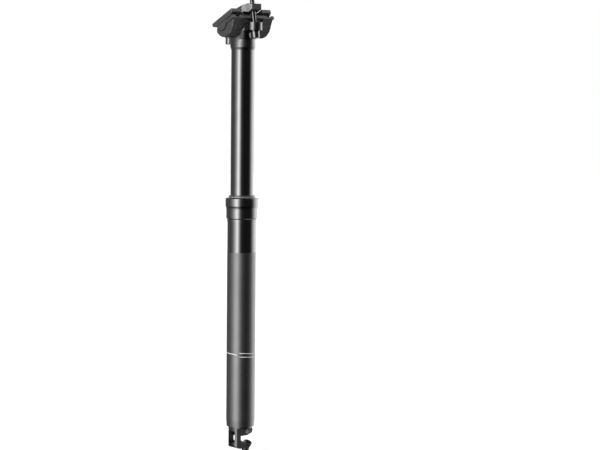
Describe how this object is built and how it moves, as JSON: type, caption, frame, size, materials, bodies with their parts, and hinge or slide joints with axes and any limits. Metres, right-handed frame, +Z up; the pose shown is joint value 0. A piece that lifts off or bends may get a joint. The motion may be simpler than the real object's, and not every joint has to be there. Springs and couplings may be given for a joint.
{
  "type": "dropper seatpost",
  "caption": "Telescopic bicycle seatpost with a sliding upper tube, a tilting two-bolt saddle clamp and a cable-pulled release lever at its foot.",
  "frame": {"origin": "on the post's axis at the underside of the collar, where it meets the rim of the seat tube", "axes": "+Z up the post, +Y towards the front wheel, +X to the rider's right"},
  "size_m": [0.0572, 0.0582, 0.5036],
  "materials": {
    "satin_black_alloy": "satin black anodised",
    "gloss_black_alloy": "gloss black anodised",
    "polished_black_tube": "polished black hard anodised",
    "forged_black_alloy": "satin black anodised forging",
    "clamp_grey_alloy": "matt grey anodised",
    "bracket_alloy": "black anodised",
    "lever_alloy": "dark anodised",
    "cartridge_alloy": "clear anodised",
    "bolt_steel": "dark zinc plated",
    "bright_steel": "bright plated",
    "chromed_rod": "hard chromed",
    "brass": "machined",
    "bearing_plastic": "plain bearing plastic",
    "seal_rubber": "moulded rubber",
    "foam": "oiled open foam"
  },
  "bodies": {
    "lower_tube": {"outer_tube": "satin_black_alloy", "collar": "gloss_black_alloy", "upper_bushing": "bearing_plastic", "foam_ring": "foam", "wiper_seal": "seal_rubber", "wiper_spring": "bright_steel", "base_bracket": "bracket_alloy", "lever_pin": "bright_steel", "piston_rod": "chromed_rod", "piston": "bearing_plastic", "bottom_bumper": "seal_rubber"},
    "upper_post": {"stanchion": "polished_black_tube", "head": "forged_black_alloy", "lower_bushing": "bearing_plastic", "guide_keys": "brass", "cartridge_body": "cartridge_alloy", "cartridge_cap": "cartridge_alloy", "rod_guide": "bearing_plastic", "guide_circlip": "bright_steel", "centring_ring": "bearing_plastic", "front_clamp_bolt": "bolt_steel", "front_bolt_washer": "bolt_steel"},
    "saddle_clamp": {"lower_clamp": "clamp_grey_alloy", "upper_clamp": "clamp_grey_alloy"},
    "rear_bolt": {"rear_clamp_bolt": "bolt_steel", "rear_bolt_washer": "bolt_steel"},
    "rear_nut": {"rear_barrel_nut": "bright_steel"},
    "front_nut": {"front_barrel_nut": "bright_steel"},
    "lever": {"actuator_lever": "lever_alloy", "cable_barrel": "bright_steel", "barrel_screw": "bolt_steel"},
    "release": {"release_pin": "bright_steel"},
    "gas_divider": {"floating_piston": "cartridge_alloy"}
  },
  "joints": [
    {"name": "post_travel", "type": "slide", "parent": "lower_tube", "child": "upper_post", "axis": [0, 0, 1], "range_m": [-0.15, 0], "stiffness_N_per_m": 400, "springref_m": 0.4},
    {"name": "saddle_tilt", "type": "hinge", "parent": "upper_post", "child": "saddle_clamp", "pos_m": [0, 0, 0.2174], "axis": [1, 0, 0], "range_deg": [-3, 8]},
    {"name": "rear_bolt_swing", "type": "hinge", "parent": "upper_post", "child": "rear_bolt", "pos_m": [0, -0.0215, 0.20349], "axis": [1, 0, 0], "range_deg": [-1.42, 3.61]},
    {"name": "rear_nut_turn", "type": "hinge", "parent": "saddle_clamp", "child": "rear_nut", "pos_m": [0, -0.01671, 0.23378], "axis": [1, 0, 0], "range_deg": [-4.59, 1.78]},
    {"name": "front_nut_turn", "type": "hinge", "parent": "saddle_clamp", "child": "front_nut", "pos_m": [0, 0.0232, 0.21432], "axis": [1, 0, 0], "range_deg": [-8.1, 3.1]},
    {"name": "lever_pull", "type": "hinge", "parent": "lower_tube", "child": "lever", "pos_m": [0.0052, 0, -0.2341], "axis": [0, 1, 0], "range_deg": [0, 25], "stiffness_Nm_per_rad": 0.3, "springref_deg": -17.19},
    {"name": "release_pin_slide", "type": "slide", "parent": "lower_tube", "child": "release", "axis": [0, 0, 1], "range_m": [-0.0001, 0.00237]},
    {"name": "gas_divider_slide", "type": "slide", "parent": "upper_post", "child": "gas_divider", "axis": [0, 0, 1], "range_m": [-0.0001, 0.03965]}
  ],
  "couplings": [
    {"joint": "rear_bolt_swing", "follows": "saddle_tilt", "ratio": 0.439},
    {"joint": "rear_nut_turn", "follows": "saddle_tilt", "ratio": -0.561},
    {"joint": "front_nut_turn", "follows": "saddle_tilt", "ratio": -1},
    {"joint": "release_pin_slide", "follows": "lever_pull", "m_per_rad": 0.0052},
    {"joint": "gas_divider_slide", "follows": "post_travel", "ratio": -0.263}
  ]
}
